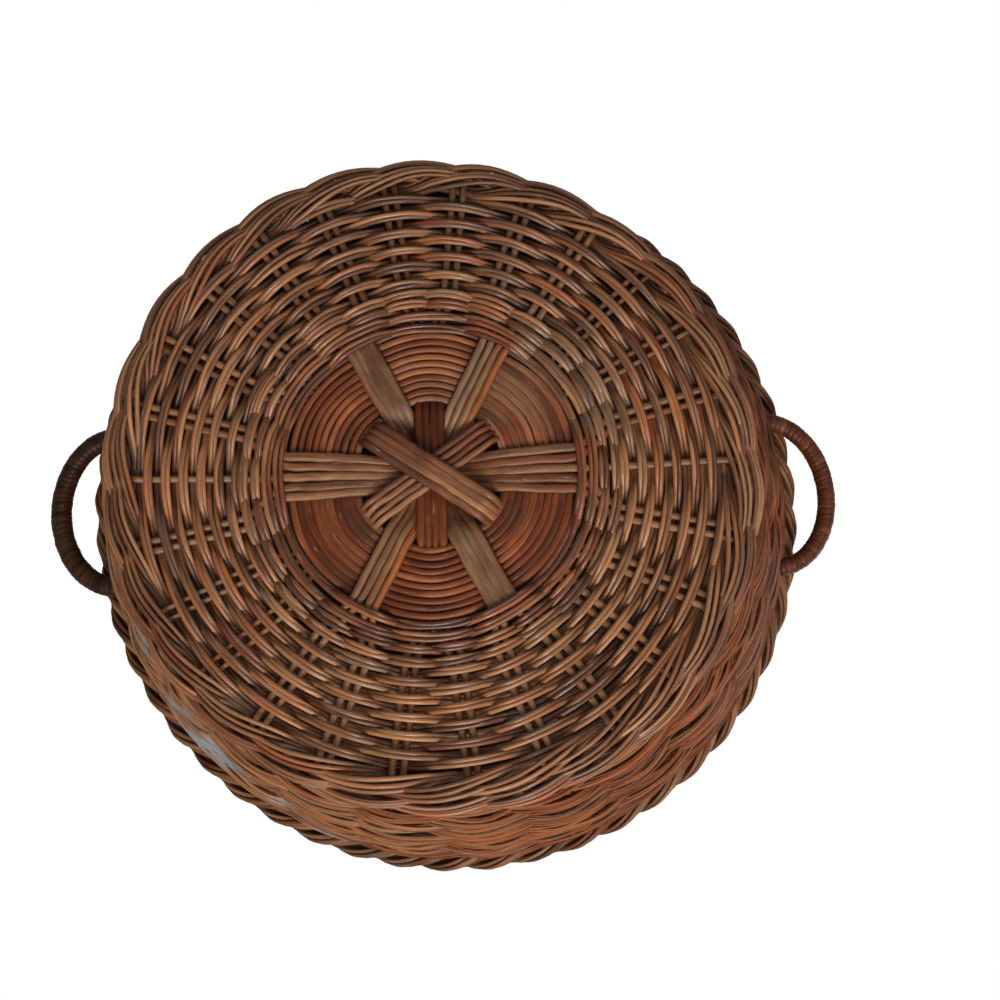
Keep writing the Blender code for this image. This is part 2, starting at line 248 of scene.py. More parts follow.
class Wire:
    def __init__(self, tree, socket):
        self.tree, self.socket = tree, socket

    def math(self, operation, *others):
        return node(self.tree, "ShaderNodeMath", {"operation": operation}, [self, *others])

    def __add__(self, other):
        return self.math("ADD", other)

    def __sub__(self, other):
        return self.math("SUBTRACT", other)

    def __mul__(self, other):
        return self.math("MULTIPLY", other)

    def __rsub__(self, other):
        return node(self.tree, "ShaderNodeMath", {"operation": "SUBTRACT"}, [other, self])

    __radd__ = __add__
    __rmul__ = __mul__

    def clamp(self, low=0.0, high=1.0):
        return node(self.tree, "ShaderNodeClamp", {}, {"Value": self, "Min": low, "Max": high})

    def between(self, low, high):
        settings = {"interpolation_type": "SMOOTHSTEP"}
        sockets = {"Value": self, "From Min": low, "From Max": high}
        return node(self.tree, "ShaderNodeMapRange", settings, sockets)


def node(tree, kind, settings, sockets, out=0):
    made = tree.nodes.new(kind)
    for key, value in settings.items():
        setattr(made, key, value)
    for key, value in (sockets.items() if isinstance(sockets, dict) else enumerate(sockets)):
        if isinstance(value, Wire):
            tree.links.new(value.socket, made.inputs[key])
        else:
            made.inputs[key].default_value = value
    return Wire(tree, made.outputs[out])


def mixColour(tree, share, first, second, blend="MIX"):
    made = tree.nodes.new("ShaderNodeMix")
    made.data_type, made.blend_type = "RGBA", blend
    for place, value in ((0, share), (6, first), (7, second)):
        if isinstance(value, Wire):
            tree.links.new(value.socket, made.inputs[place])
        else:
            made.inputs[place].default_value = value if place == 0 else (*value, 1)
    return Wire(tree, made.outputs[2])


caneColours = {
    "dark": (0.020, 0.007, 0.003),
    "red": (0.125, 0.026, 0.007),
    "ruddy": (0.275, 0.083, 0.023),
    "brown": (0.128, 0.045, 0.017),
    "tan": (0.320, 0.148, 0.064),
    "grey": (0.175, 0.100, 0.055),
    "paintedGlint": (0.430, 0.250, 0.140),
    "dust": (0.200, 0.240, 0.275),
}
# noises as scale, detail, roughness and stretch
caneNoises = {
    "fibre": (1.0, 4, 0.65, (1.1, 13, 1)),
    "streak": (1.0, 2, 0.5, (0.28, 5, 1)),
    "fleck": (1.0, 2, 0.5, (1.6, 7, 1)),
    "patch": (42, 3, 0.6, (1, 1, 1)),
    "cloud": (13, 2, 0.5, (1, 1, 1)),
    "speck": (420, 2, 0.6, (1, 1, 1)),
}
# how much of each layer shows, after the mask's values at which it starts and is full
caneLook = {
    "plain": (0.18, 0.85), "ruddy": (0.30, 1.0), "warm": (0.25, 0.80),
    "weathered": (0.02, 0.28), "weathering": 0.80, "weatherFloor": 0.48,
    "fibres": (0.60, 0.30), "fibreDark": 0.50,
    "shadow": (0.34, 0.02), "shadowDark": 0.55,
    "flecks": (0.64, 0.78), "fleckPale": 0.40,
    "outer": (0.36, 0.24), "flank": (0.12, 0.0), "flankAt": 0.25, "deepDark": 0.78,
    "roughRange": (0.2, 1.0), "bump": 0.55, "bumpDepth": 0.22 * mm,
}
# how strongly each noise or mark counts
caneWeights = {
    "warmCloud": 0.9, "warmPatch": 0.7, "paleStreak": 0.75, "palePatch": 0.55,
    "weatherNoise": 0.6, "weatherRed": 0.35,
    "dullDeep": 0.25, "dullFlank": 0.4, "dullInner": 0.25, "roughFibre": 0.35, "roughSpeck": 0.2,
    "reliefFibre": 0.7, "reliefStreak": 0.5, "reliefSpeck": 0.18,
}
# bluish worn patches on one stretch of the wall
dustForm = {
    "towards": (-0.80, 0.60, 0.0), "reach": (96 * mm, 112 * mm),
    "patches": (0.56, 0.73), "streaks": 0.2, "fibres": (0.20, 0.60),
}


def caneFinish(name, shade=1.0, warm=0.0, dusty=0.0, gloss=0.46, sheen=0.32, flankShade=0.85):
    form, weights = caneLook, caneWeights
    material = bpy.data.materials.new(name)
    material.use_nodes = True
    tree = material.node_tree
    shader = tree.nodes["Principled BSDF"]
    look = lambda key: node(tree, "ShaderNodeAttribute", {"attribute_name": key}, {}, 2)
    tone, red, deep = look("tone"), look("red"), look("deep")
    uv = node(tree, "ShaderNodeUVMap", {"uv_map": "grain"}, {})
    solid = node(tree, "ShaderNodeTexCoord", {}, {}, 3)

    def noise(vector, key):
        scale, detail, rough, stretch = caneNoises[key]
        vector = node(tree, "ShaderNodeMapping", {}, {"Vector": vector, "Scale": stretch})
        sockets = {"Vector": vector, "Scale": scale, "Detail": detail, "Roughness": rough}
        return node(tree, "ShaderNodeTexNoise", {}, sockets)

    fibre, streak, fleck = (noise(uv, key) for key in ("fibre", "streak", "fleck"))
    patch, cloud, speck = (noise(solid, key) for key in ("patch", "cloud", "speck"))

    warmth = red + (cloud - 0.5) * weights["warmCloud"] + (patch - 0.5) * weights["warmPatch"]
    warmth = (warmth + warm).clamp()
    pale = tone + (streak - 0.5) * weights["paleStreak"] + (patch - 0.5) * weights["palePatch"]
    pale = pale.clamp()
    plain = mixColour(tree, pale.between(*form["plain"]), caneColours["brown"], caneColours["tan"])
    ruddy = mixColour(tree, pale.between(*form["ruddy"]), caneColours["red"], caneColours["ruddy"])
    colour = mixColour(tree, warmth.between(*form["warm"]), plain, ruddy)

    def lay(mask, key):
        return mixColour(tree, mask, colour, caneColours[key])

    weathered = cloud * weights["weatherNoise"] + patch * weights["weatherNoise"]
    weathered = weathered - form["weatherFloor"] - red * weights["weatherRed"]
    colour = lay(weathered.between(*form["weathered"]) * form["weathering"], "grey")
    colour = lay(fibre.between(*form["fibres"]) * form["fibreDark"], "dark")
    colour = lay(pale.between(*form["shadow"]) * form["shadowDark"], "dark")
    # painted highlight: pale flecks along the grain stand in for glints
    colour = lay(fleck.between(*form["flecks"]) * form["fleckPale"], "paintedGlint")
    # how far round the cane: 0 on its outer face, 0.5 on its inner face
    around = node(tree, "ShaderNodeSeparateXYZ", {}, {"Vector": uv}, 1)
    around = node(tree, "ShaderNodeMath", {"operation": "FRACT"}, [around])
    side = node(tree, "ShaderNodeMath", {"operation": "ABSOLUTE"}, [around - 0.5])
    outer = side.between(*form["outer"])
    flank = node(tree, "ShaderNodeMath", {"operation": "ABSOLUTE"}, [side - form["flankAt"]])
    flank = flank.between(*form["flank"])
    # painted shade: each cane's flanks, where it meets its neighbours, are painted dark
    colour = lay(flank * flankShade, "dark")
    # painted shade: deep paints the outer face dark where a cane lies inside the rods or under other canes
    colour = lay((deep * outer * form["deepDark"]).clamp(), "dark")
    if dusty:
        across = node(tree, "ShaderNodeVectorMath", {"operation": "DOT_PRODUCT"},
                      [solid, dustForm["towards"]], 1)
        blotches = (patch + streak * dustForm["streaks"]).between(*dustForm["patches"])
        film = across.between(*dustForm["reach"]) * blotches
        colour = lay(film * fibre.between(*dustForm["fibres"]) * outer * dusty, "dust")
    if shade != 1.0:
        colour = mixColour(tree, 1.0, colour, (shade, shade, shade), "MULTIPLY")
    tree.links.new(colour.socket, shader.inputs["Base Color"])
    dull = (deep * weights["dullDeep"] + flank * weights["dullFlank"]
            + (1 - outer) * weights["dullInner"])
    rough = gloss + (fibre - 0.5) * weights["roughFibre"] + (speck - 0.5) * weights["roughSpeck"]
    rough = (rough + dull).clamp(*form["roughRange"])
    tree.links.new(rough.socket, shader.inputs["Roughness"])
    relief = (fibre * weights["reliefFibre"] + streak * weights["reliefStreak"]
              + speck * weights["reliefSpeck"])
    relief = {"Strength": form["bump"], "Distance": form["bumpDepth"], "Height": relief}
    bump = node(tree, "ShaderNodeBump", {}, relief)
    tree.links.new(bump.socket, shader.inputs["Normal"])
    shader.inputs["Specular IOR Level"].default_value = sheen
    return material


# Weaving: each row runs round the bowl, outside some groups of rods and inside the others
weaveForm = {
    "rodShow": 1.5 * mm,       # how far the exposed arms stand out over the hub
    "rodHide": -1.2 * mm,
    "hubEdge": 45.5 * mm,      # rods start to open into groups
    "spreadEdge": 57.0 * mm,
    "bunched": 0.42, "opening": 0.58,      # spacing of an arm's groups on the hub, and what it gains
    "stationsPerGroup": 8,
    "overlap": 0.36,           # groups by which the two ends of a row pass each other, inside
    "endStations": 3, "endThick": 0.05,
    "shadeChange": (0.3, 0.7), "redness": 0.14,
    "deepFrom": (-0.2, 1.0), "deepOnHub": (-1, 0.4),
}
hiddenGroups = np.zeros(groups, bool)
armOfGroup = np.zeros(groups)
for arm in arms:
    for turn in (arm["turn"], arm["turn"] + groups / 2):
        reach = 1 if arm["rods"] % 2 else 0.5
        for group in np.arange(turn - reach, turn + reach + 0.1):
            hiddenGroups[int(group) % groups] = arm["hidden"]
            armOfGroup[int(group) % groups] = turn or groups
ownPlace = np.arange(groups) + 0.0
ownPlace[:2] += groups         # the arm at group 0 reaches from the last group to group 1

overHidden = np.where(hiddenGroups, 1, -1)
overEven = np.where(np.arange(groups) % 2 == 0, 1, -1)


def rodPlaces(run):            # angle and offset of each group of rods where a row crosses them
    opened = smooth(run, weaveForm["hubEdge"], weaveForm["spreadEdge"])
    spread = weaveForm["bunched"] + weaveForm["opening"] * opened
    angles = (armOfGroup + (ownPlace - armOfGroup) * spread) * groupAngle
    offsets = np.where(hiddenGroups, weaveForm["rodHide"], weaveForm["rodShow"]) * (1 - opened)
    return angles, offsets


def rowOffset(angle, run, sides, swing, flat):
    angles, offsets = rodPlaces(run)
    order = np.argsort(angles)
    angles, offsets, sides = angles[order], offsets[order], np.asarray(sides)[order]
    turned = np.mod(angle - angles[0], 2 * math.pi) + angles[0]
    knots = np.append(angles, angles[0] + 2 * math.pi)
    places = np.interp(turned, knots, np.arange(groups + 1))
    low = np.minimum(places.astype(int), groups - 1)
    share = smooth(places - low, flat, 1 - flat)
    follow = lambda values: values[low % groups] * (1 - share) + values[(low + 1) % groups] * share
    return follow(offsets) + swing * follow(sides), follow(sides)


def startCanes():
    return {key: [] for key in ("paths", "outward", "width", "height", "tone", "red", "deep")}


def addCane(canes, **rows):
    for key, row in rows.items():
        canes[key].append(row)


def stackCanes(canes):
    return {key: np.stack(value) for key, value in canes.items()}


def roundEnds(stations):       # distance from the cane's middle, 0 to 1, and its thickness there
    place = np.abs(np.linspace(-1, 1, stations))
    left = (1 - place) * stations / weaveForm["endStations"]
    return place, np.sqrt(np.clip(left, weaveForm["endThick"], 1))


def shadesAlong(spot, count, mottle):
    shades = dice.normal(0, mottle, count)
    low = np.clip(spot.astype(int), 0, count - 2)
    part = smooth(spot - low, *weaveForm["shadeChange"])
    return shades[low] * (1 - part) + shades[low + 1] * part


# three fans of the hub are rubbed flat: from and to which angle in degrees, and how much redder
fanForm = {
    "worn": ((303, 348, -0.34), (125, 172, -0.10), (10, 50, 0.10)), "before": 4, "after": 6,
    "wider": 0.20, "thinner": 0.46, "darker": 0.12,
}


def wornFans(angle):           # how far a place is rubbed flat, and how much redder it is
    before, after = fanForm["before"], fanForm["after"]
    turns = np.mod(np.degrees(angle), 360)
    fans = [(smooth(turns, low - before, low + after) * (1 - smooth(turns, high - after, high + before)),
             redder) for low, high, redder in fanForm["worn"]]
    return sum(fan for fan, _ in fans), sum(fan * redder for fan, redder in fans)


# what the rows of hub and pairing share: drifts as knots, or as knots and size
rowForm = {
    "driftKnots": 30, "slowKnots": 9, "liftKnots": 40, "lift": 0.6, "girth": (24, 0.06),
    "tailReach": 1.6, "tailDepth": 0.9, "waves": (3, 7), "kinks": 6,
}


def layRow(canes, run, sides, form):
    # one row: its canes lie side by side over the rods, and roll over each other between them
    step, count = weaveForm["stationsPerGroup"], form["canes"]
    lap = weaveForm["overlap"] * groupAngle
    stations = groups * step + 1 + int(2 * weaveForm["overlap"] * step)
    place, ends = roundEnds(stations)
    inside = [group for group in range(groups) if sides[group] < 0]
    slow, fast = rowForm["waves"]
    for k in range(count):
        beside = k - (count - 1) / 2
        seam = rodPlaces(run)[0][dice.choice(inside)]
        angle = seam + np.linspace(-lap, 2 * math.pi + lap, stations)
        offset, side = rowOffset(angle, run, sides, form["swing"], form["flat"])
        crest = np.abs(side)
        apart = beside * (form["apart"] * crest + form["pinch"] * (1 - crest))
        roll = (1 - crest) * form["roll"] * beside
        drift = wander(stations, rowForm["driftKnots"], form["drift"])
        drift = drift + wander(stations, rowForm["slowKnots"], form["drift"])
        lift = wander(stations, rowForm["liftKnots"], form["drift"] * rowForm["lift"])
        shared = (form["sway"] * np.sin(angle * slow + run / mm)
                  + form["sway"] * np.sin(angle * fast + 2 * run / mm))
        tail = smooth(place, 1 - rowForm["tailReach"] * lap / math.pi, 1)
        here = run + apart + drift + shared - form["kink"] * np.cos(rowForm["kinks"] * angle)
        away = offset + roll + lift - tail * form["thick"] * rowForm["tailDepth"]
        girth = (1 + wander(stations, *rowForm["girth"])) * ends
        worn, redder = wornFans(angle)
        each = shadesAlong((angle - seam) / groupAngle + 1, groups + 3, form["mottle"])
        paler = np.clip(-np.sin(angle), 0, 1) ** 2 * form["pale"]
        # painted shade: stretches that pass inside the rods get a dark outer face
        deep = smooth(-side, *weaveForm["deepFrom"]) * form["deep"]
        addCane(
            canes, paths=onBowl(here, angle, away), outward=outOfBowl(here, angle),
            width=form["wide"] / 2 * girth * (1 + fanForm["wider"] * worn),
            height=form["thick"] / 2 * girth * (1 - fanForm["thinner"] * worn),
            tone=form["tone"] + dice.normal(0, form["mottle"]) + each - worn * fanForm["darker"] + paler,
            red=form["red"] + dice.normal(0, weaveForm["redness"]) + each * 0.5 + redder - paler * 2,
            deep=deep * smooth(-side, *weaveForm["deepOnHub"]))


# the weavers of base and side: where they run, their canes, and how the side towards the key lamp is
# painted paler, as painted light
hubForm = {
    "first": 24.3 * mm, "last": 45.2 * mm, "rows": 10, "canes": 1, "sides": 8,
    "wide": 2.3 * mm, "thick": 1.7 * mm, "swing": 1.8 * mm, "flat": 0.16,
    "apart": 0, "pinch": 0, "roll": 0, "drift": 0.07 * mm, "sway": 0.0, "kink": 0.4 * mm,
    "tone": 0.39, "red": 0.66, "mottle": 0.12, "deep": 0.2, "pale": 0.13,
    "darker": 0.25,            # the inmost row, round the star
}
pairingForm = {
    "first": 48.4 * mm, "last": 59.6 * mm, "rows": 4, "canes": 2, "sides": 6,
    "wide": 1.75 * mm, "thick": 1.4 * mm, "swing": 1.8 * mm, "flat": 0.12,
    "apart": 1.45 * mm, "pinch": 0.9 * mm, "roll": 0.8 * mm,
    "drift": 0.14 * mm, "sway": 0.12 * mm, "kink": 0.2 * mm,
    "tone": 0.28, "red": 0.68, "mottle": 0.16, "deep": 0.6, "pale": 0.0,
    "paler": 0.22, "greyer": 0.40,         # from the inmost row to the last
    "unpaired": 2, "halfGap": 0.2 * mm,
}
baseForm = {
    "first": bowlRun(63.0 * mm), "last": baseEnd, "turns": 5,
    "early": 16, "late": 6, "pieces": 4, "canes": 2, "sides": 6,
    "wide": 1.75 * mm, "thick": 1.35 * mm, "swing": 2.15 * mm, "flat": 0.13,
    "apart": 1.32 * mm, "pinch": 0.95 * mm, "roll": 0.8 * mm,
    "drift": 0.13 * mm, "sway": 0.10 * mm, "stray": 0.05, "taper": 0.0, "taperReach": 16 * mm,
    "tone": 0.50, "red": 0.32, "mottle": 0.25, "deep": 0.45,
    "paler": 0.12, "palerAt": math.radians(80), "redder": 0.0, "redderAt": 0.0,
}
sideForm = {
    **baseForm, "first": sideStart, "last": bowlEnd, "turns": 11,
    "early": 6, "late": 20, "pieces": 4, "canes": 3,
    "wide": 1.5 * mm, "thick": 1.15 * mm, "swing": 1.9 * mm, "flat": 0.03,
    "apart": 1.25 * mm, "pinch": 0.8 * mm, "roll": 0.55 * mm,
    "drift": 0.16 * mm, "sway": 0.3 * mm, "stray": 0.16, "taper": 0.5,
    "tone": 0.43, "red": 0.35, "mottle": 0.20,
    "paler": 0.20, "palerAt": math.radians(135), "redder": 0.30, "redderAt": math.radians(15),
}
weaverForm = {
    "driftKnots": 40, "liftKnots": 50, "lift": 0.6, "girth": (30, 0.06), "bulge": 0.08,
    "tailReach": 3, "tailDepth": 0.5, "toneShare": 0.7,
}


def layWeaver(canes, form, second, firstStep, lastStep, stations):
    # a length of one weaver, from group to group: two rows up each turn, outside the odd steps
    crossings = int(lastStep - firstStep)
    rowPitch = (form["last"] - form["first"]) / (2 * form["turns"] + 1)
    lap = weaveForm["overlap"]
    step = np.linspace(firstStep - lap, lastStep + lap, stations)
    angle = (step + second * groups / 2) * groupAngle
    crossing = step + wander(stations, crossings, form["stray"])
    low = np.floor(crossing)
    share = smooth(crossing - low, form["flat"], 1 - form["flat"])
    side = np.where(np.mod(low, 2) == 1, 1, -1) * (1 - 2 * share)
    crest = np.abs(side)
    shared = wander(stations, crossings, form["sway"])
    bulge = 1 + wander(stations, crossings, weaverForm["bulge"])
    place, ends = roundEnds(stations)
    tail = smooth(place, 1 - weaverForm["tailReach"] * lap / (lastStep - firstStep), 1)
    for k in range(form["canes"]):
        beside = k - (form["canes"] - 1) / 2
        apart = beside * (form["apart"] * crest + form["pinch"] * (1 - crest))
        roll = (1 - crest) * form["roll"] * beside
        drift = wander(stations, weaverForm["driftKnots"], form["drift"])
        lift = wander(stations, weaverForm["liftKnots"], form["drift"] * weaverForm["lift"])
        here = form["first"] + rowPitch * (0.5 + 2 * step / groups) + apart + drift + shared
        # the wall draws in under the border
        narrow = 1 - form["taper"] * smooth(here, form["last"] - form["taperReach"], form["last"])
        tucked = tail * form["thick"] * weaverForm["tailDepth"] * (1 + k)
        away = side * form["swing"] * bulge * narrow + roll + lift - tucked
        girth = (1 + wander(stations, *weaverForm["girth"])) * ends
        # a new shade starts where the cane is hidden inside
        each = shadesAlong((step - firstStep + 1.5) / 2, crossings + 4, form["mottle"])
        # painted light: paler towards palerAt, on the side the key lamp lights
        paler = form["paler"] * np.cos(angle - form["palerAt"])
        redder = form["redder"] * np.cos(angle - form["redderAt"])
        # painted shade: deep darkens the outer face where the weaver passes inside
        addCane(
            canes, paths=onBowl(here, angle, away), outward=outOfBowl(here, angle),
            width=form["wide"] / 2 * girth, height=form["thick"] / 2 * girth,
            tone=form["tone"] + dice.normal(0, form["mottle"] * weaverForm["toneShare"]) + each + paler,
            red=form["red"] + dice.normal(0, weaveForm["redness"]) + each * 0.5 + redder,
            deep=smooth(-side, *weaveForm["deepFrom"]) * form["deep"])


def layWeavers(form, firstStep, lastStep):
    # both weavers between two steps, in lengths that end where they pass inside
    canes, pieces = startCanes(), form["pieces"]
    stations = int((lastStep - firstStep) / pieces * weaveForm["stationsPerGroup"]) + 6
    joins = [2 * round((firstStep + (lastStep - firstStep) * k / pieces) / 2) for k in range(pieces + 1)]
    for second in range(2):
        for start, end in zip(joins, joins[1:]):
            layWeaver(canes, form, second, start, end, stations)
    return stackCanes(canes)


def rowRuns(form):
    return np.linspace(form["first"], form["last"], form["rows"])


def weaveHub():
    canes = startCanes()
    for row, run in enumerate(rowRuns(hubForm)):
        form = dict(hubForm, tone=hubForm["tone"] - hubForm["darker"] * (row == 0))
        layRow(canes, run, overHidden, form)
    bendCanes("hubWeave", stackCanes(canes), hubForm["sides"], hubFinish, ["hub_weave"])


def weaveSpread():
    canes = startCanes()
    for row, run in enumerate(rowRuns(pairingForm)):
        share = row / (pairingForm["rows"] - 1)
        form = dict(pairingForm, tone=pairingForm["tone"] + pairingForm["paler"] * share,
                    red=pairingForm["red"] - pairingForm["greyer"] * share)
        over = overHidden if row < form["unpaired"] else overEven
        layRow(canes, run - form["halfGap"], over, form)
        layRow(canes, run + form["halfGap"], -over, form)
    sides = pairingForm["sides"]
    bendCanes("spreadWeave", stackCanes(canes), sides, weaveFinish, ["spread_weave"])


def weaveBase():
    canes = layWeavers(baseForm, -baseForm["early"], baseForm["turns"] * groups + baseForm["late"])
    bendCanes("baseWeave", canes, baseForm["sides"], weaveFinish,
              ["base_weave_1", "base_weave_2"])


def weaveSide():
    last = sideForm["turns"] * groups
    join = 2 * round(last / 4)
    lower = layWeavers(sideForm, -sideForm["early"], join)
    upper = layWeavers(sideForm, join, last + sideForm["late"])
    sides = sideForm["sides"]
    bendCanes("sideWeaveLower", lower, sides, sideFinish, ["side_weave_1", "side_weave_2"])
    bendCanes("sideWeaveUpper", upper, sides, sideFinish, ["side_weave_3", "side_weave_4"])


# Waling round the foot: three strands a row, each outside two groups and inside the third
waleForm = {
    "first": 96.4 * mm, "last": 101.4 * mm, "rows": 2, "strands": 3, "canes": 3, "apart": 1.25 * mm,
    "inside": -2.3 * mm, "outside": 0.35 * mm, "crest": 4.05 * mm, "peak": 1.6, "slant": 5.4 * mm,
    "wide": 1.6 * mm, "thick": 1.6 * mm, "stationsPerGroup": 8,
    "sides": 6, "rowShift": 9,
    "insideEnds": 0.25,        # share of a strand's stroke that it spends inside
    "rises": (0.20, 0.40), "dives": (0.93, 1.10), "dived": (-0.10, 0.07),
    "drift": (40, 0.12 * mm), "girth": (30, 0.10), "deep": 0.85,
    "tone": 0.50, "toneSize": 0.10, "toneDrift": (22, 0.24), "red": 0.35, "redDrift": (16, 0.20),
}


def weaveFoot():
    form = waleForm
    canes = startCanes()
    strands, inner, step = form["strands"], form["insideEnds"], form["stationsPerGroup"]
    stations = groups * step + step + 1
    for row, run in enumerate(rowRuns(form)):
        for strand in range(strands):
            angle = np.linspace(0, 2 * math.pi + groupAngle, stations)
            angle = angle + (row * form["rowShift"] - strand) * groupAngle    # both ends are tucked inside
            phase = np.mod(angle / groupAngle + strand + 0.5, strands) / strands
            out = smooth(phase, *form["rises"]) * (1 - smooth(phase, *form["dives"]))
            out = np.clip(out + (1 - smooth(phase, *form["dived"])), 0, 1)
            along = np.clip((phase - inner) / (1 - inner), 0, 1)
            back = np.where(phase < inner, phase / inner, 0)
            slant = np.where(phase < inner, 0.5 - back, along - 0.5) * form["slant"]
            offset = form["inside"] + (form["outside"] - form["inside"]) * out
            offset = offset + form["crest"] * out * np.sin(np.pi * along) ** form["peak"]
            for k in range(form["canes"]):
                beside = (k - (form["canes"] - 1) / 2) * form["apart"]
                here = run + slant + beside + wander(stations, *form["drift"])
                away = offset + wander(stations, *form["drift"])
                girth = 1 + wander(stations, *form["girth"])
                tone = form["tone"] + dice.normal(0, form["toneSize"])
                # painted shade: deep darkens a strand's outer face where it dives inside
                addCane(canes, paths=onBowl(here, angle, away), outward=outOfBowl(here, angle),
                        width=form["wide"] / 2 * girth, height=form["thick"] / 2 * girth,
                        tone=tone + wander(stations, *form["toneDrift"]),
                        red=form["red"] + wander(stations, *form["redDrift"]),
                        deep=form["deep"] * (1 - out))
    bendCanes("footWale", stackCanes(canes), form["sides"], waleFinish,
              ["foot_wale", "corner_wale"])


# Rods of the frame: from the star at the middle of the base up to the border
rodForm = {
    "starPitch": 2.30 * mm, "hiddenPitch": 2.40 * mm, "armPitch": 2.55 * mm, "widePitch": 3.30 * mm,
    "pitchFrom": 8 * mm, "pitchTo": 46 * mm, "pairGap": 3.4 * mm, "layer": 2.0 * mm,
    "thickStart": 2.75 * mm, "thickEnd": 1.9 * mm, "flatten": 0.80, "flatFrom": 14 * mm, "flatTo": 26 * mm,
    "diveFrom": 20.2 * mm, "diveTo": 26.0 * mm, "riseFrom": 11.0 * mm, "riseTo": 25.0 * mm,
    "openEarly": 1 * mm, "openLate": 4 * mm, "straightShare": 0.9,
    "pairedFrom": 44 * mm, "pairedTo": 56 * mm, "deepFrom": 90 * mm, "deepTo": 100 * mm,
    "stations": 96, "innerStations": 48, "innerReach": 60 * mm, "overrun": 5 * mm, "sides": 10,
    "drift": (60, 0.10 * mm), "girth": (30, 0.03), "toneSize": 0.10, "split": (-0.05, 0.05),
    # farPaler paints the rods paler towards +y, where the key lamp shines (painted light); darkest and
    # dimming paint shade away from it, and farDeep paints shade from the foot on
    "farTone": 0.50, "farPaler": 0.14, "farRed": 0.15, "farDeep": 0.25, "darkest": 0.64, "dimming": 0.9,
}
# tone and redness of each arm, on its near side (out) and past the middle (back),
# and which of its rods are ruddy or pale
armTones = {
    "bunchA": {"out": (0.42, 0.42), "back": (0.14, 0.50)},
    "bunchB": {"out": (0.42, 0.10), "back": (0.22, 0.45), "pale": (0.14, -0.08, 0.16, -0.04)},
    "bunchC": {"out": (0.42, 0.85), "back": (0.02, 1.0)},
    "bunchD": {"out": (0.28, 0.20), "back": (0.40, 0.05), "ruddy": (0, 0, 0, 0.5, 0.4)},
    "bunchE": {"out": (0.40, 0.05), "back": (0.40, 0.05), "ruddy": (0.7, 0.4, 0, 0),
               "pale": (0.2, 0, -0.1, 0.1)},
    "bunchF": {"out": (0.34, 0.02), "back": (0.36, 0.02)},
}


def halfRod(turn, slot, arm, layer):
    form, count = rodForm, arm["rods"]
    away = slot - (count - 1) / 2
    inner, stations = form["innerReach"], form["innerStations"]
    reach = np.concatenate([np.linspace(0, inner, stations, endpoint=False),
                            np.linspace(inner, bowlEnd + form["overrun"], form["stations"] - stations)])
    side = np.sign(away)
    group = turn + (side * (1.0 if count % 2 else 0.5) if away else 0)
    isInner = abs(away) < 1.0 + (count % 2) * 0.5
    place = side * (-0.5 if isInner else 0.5) * form["pairGap"] if away else 0.0
    farPitch = form["widePitch"] if count % 2 else form["armPitch"]
    if arm["hidden"]:
        farPitch = form["hiddenPitch"]
    farPitch = farPitch * arm.get("spread", 1.0)
    grown = smooth(reach, form["pitchFrom"], form["pitchTo"])
    lateral = away * (form["starPitch"] + (farPitch - form["starPitch"]) * grown)
    armAngle, ownAngle = turn * groupAngle, group * groupAngle
    opened = smooth(reach, weaveForm["hubEdge"] - form["openEarly"],
                    weaveForm["spreadEdge"] + form["openLate"])
    radiusAt = np.interp(reach, bowl["run"], bowl["radius"])
    straight = np.arctan2(lateral, np.maximum(reach, 1e-9))
    pair = np.arctan2(place, np.maximum(radiusAt, 1e-9))
    angle = (armAngle + straight) * (1 - opened) + (ownAngle + pair) * opened
    out = ((len(arms) - 1) / 2 - layer) * form["layer"]
    if arm["hidden"]:
        offset = out + (weaveForm["rodHide"] - out) * smooth(reach, form["diveFrom"], form["diveTo"])
    else:
        offset = out + (weaveForm["rodShow"] - out) * smooth(reach, form["riseFrom"], form["riseTo"])
    offset = offset * (1 - smooth(reach, weaveForm["hubEdge"], weaveForm["spreadEdge"]))
    runHere = np.hypot(reach, lateral * (1 - opened))
    path = onBowl(runHere, angle, offset)
    near = reach < weaveForm["hubEdge"] * form["straightShare"]
    along = np.array((math.cos(armAngle), math.sin(armAngle)))
    across = np.array((-math.sin(armAngle), math.cos(armAngle)))
    path[near, :2] = (along * reach[:, None] + across * lateral[:, None])[near]
    path[near, 2] = (baseHeight(reach) - offset)[near]
    return path, outOfBowl(np.maximum(runHere, 1e-4), angle), reach


